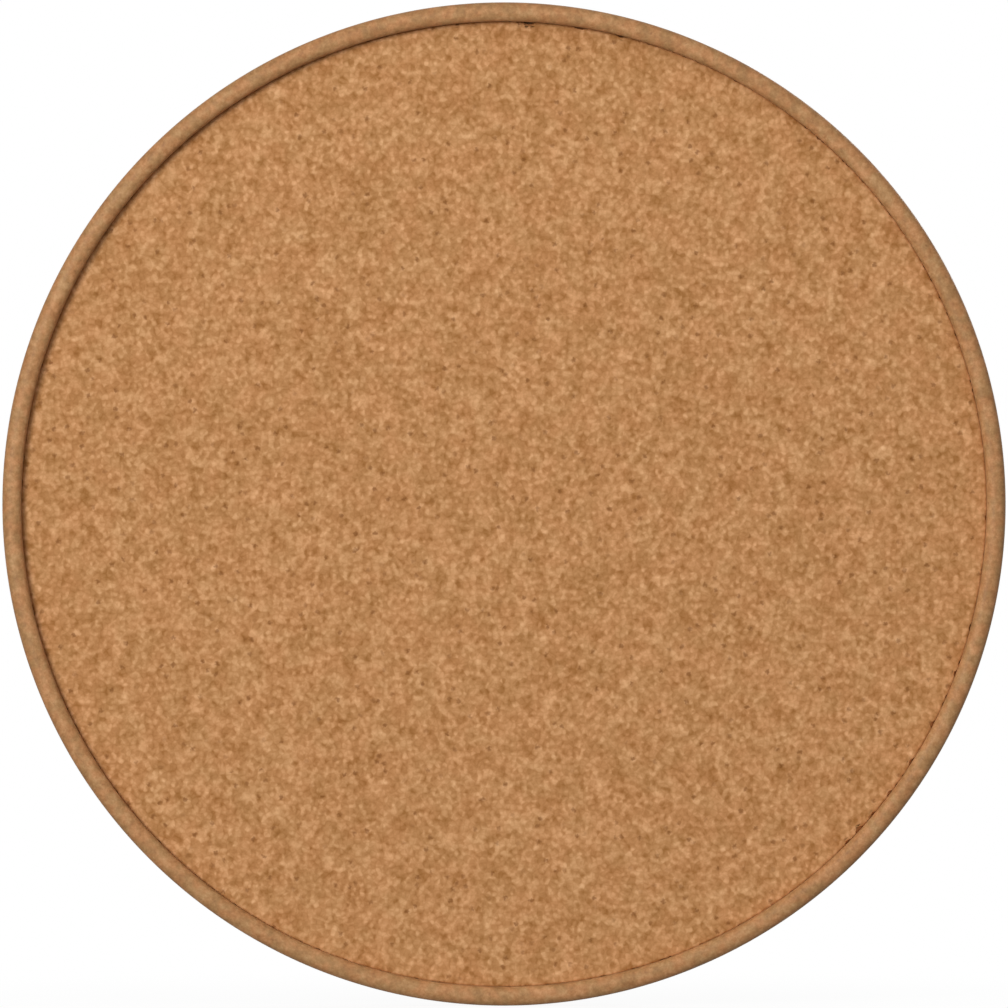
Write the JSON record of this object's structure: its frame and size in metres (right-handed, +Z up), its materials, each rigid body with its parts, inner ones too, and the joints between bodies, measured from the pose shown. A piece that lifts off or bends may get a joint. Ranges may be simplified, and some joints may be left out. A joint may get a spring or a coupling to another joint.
{
  "type": "cork bulletin board",
  "caption": "Round cork bulletin board with a round-nosed rim standing well proud of a fine-grained cork face, hung on a wall by a swinging D-ring.",
  "frame": {"origin": "on the wall plane, where the rear faces of the bumpers touch it, on the axis of the round board", "axes": "+Y into the wall, so the cork faces -Y; +Z up; +X to the right of someone facing the cork"},
  "size_m": [0.4, 0.02, 0.4],
  "materials": {
    "rim_mdf": "matte",
    "cork": "matte",
    "softboard": "matte",
    "hardboard": "satin",
    "hanger_steel": "satin",
    "point_steel": "satin",
    "bumper_rubber": "satin"
  },
  "bodies": {
    "board": {"rim_ring": "rim_mdf", "cork_sheet": "cork", "core_board": "softboard", "back_panel": "hardboard", "framer_point_01": "point_steel", "framer_point_02": "point_steel", "framer_point_03": "point_steel", "framer_point_04": "point_steel", "framer_point_05": "point_steel", "framer_point_06": "point_steel", "framer_point_07": "point_steel", "framer_point_08": "point_steel", "framer_point_09": "point_steel", "framer_point_10": "point_steel", "framer_point_11": "point_steel", "framer_point_12": "point_steel", "wall_bumper_1": "bumper_rubber", "wall_bumper_2": "bumper_rubber", "wall_bumper_3": "bumper_rubber", "wall_bumper_4": "bumper_rubber", "hanger_strap": "hanger_steel", "hanger_screw_1": "hanger_steel", "hanger_screw_2": "hanger_steel"},
    "hanger_ring": {"hanging_ring": "hanger_steel"}
  },
  "joints": [
    {"name": "ring_swing", "type": "hinge", "parent": "board", "child": "hanger_ring", "pos_m": [0, -0.00213, 0.15], "axis": [1, 0, 0], "range_deg": [0, 178]}
  ]
}
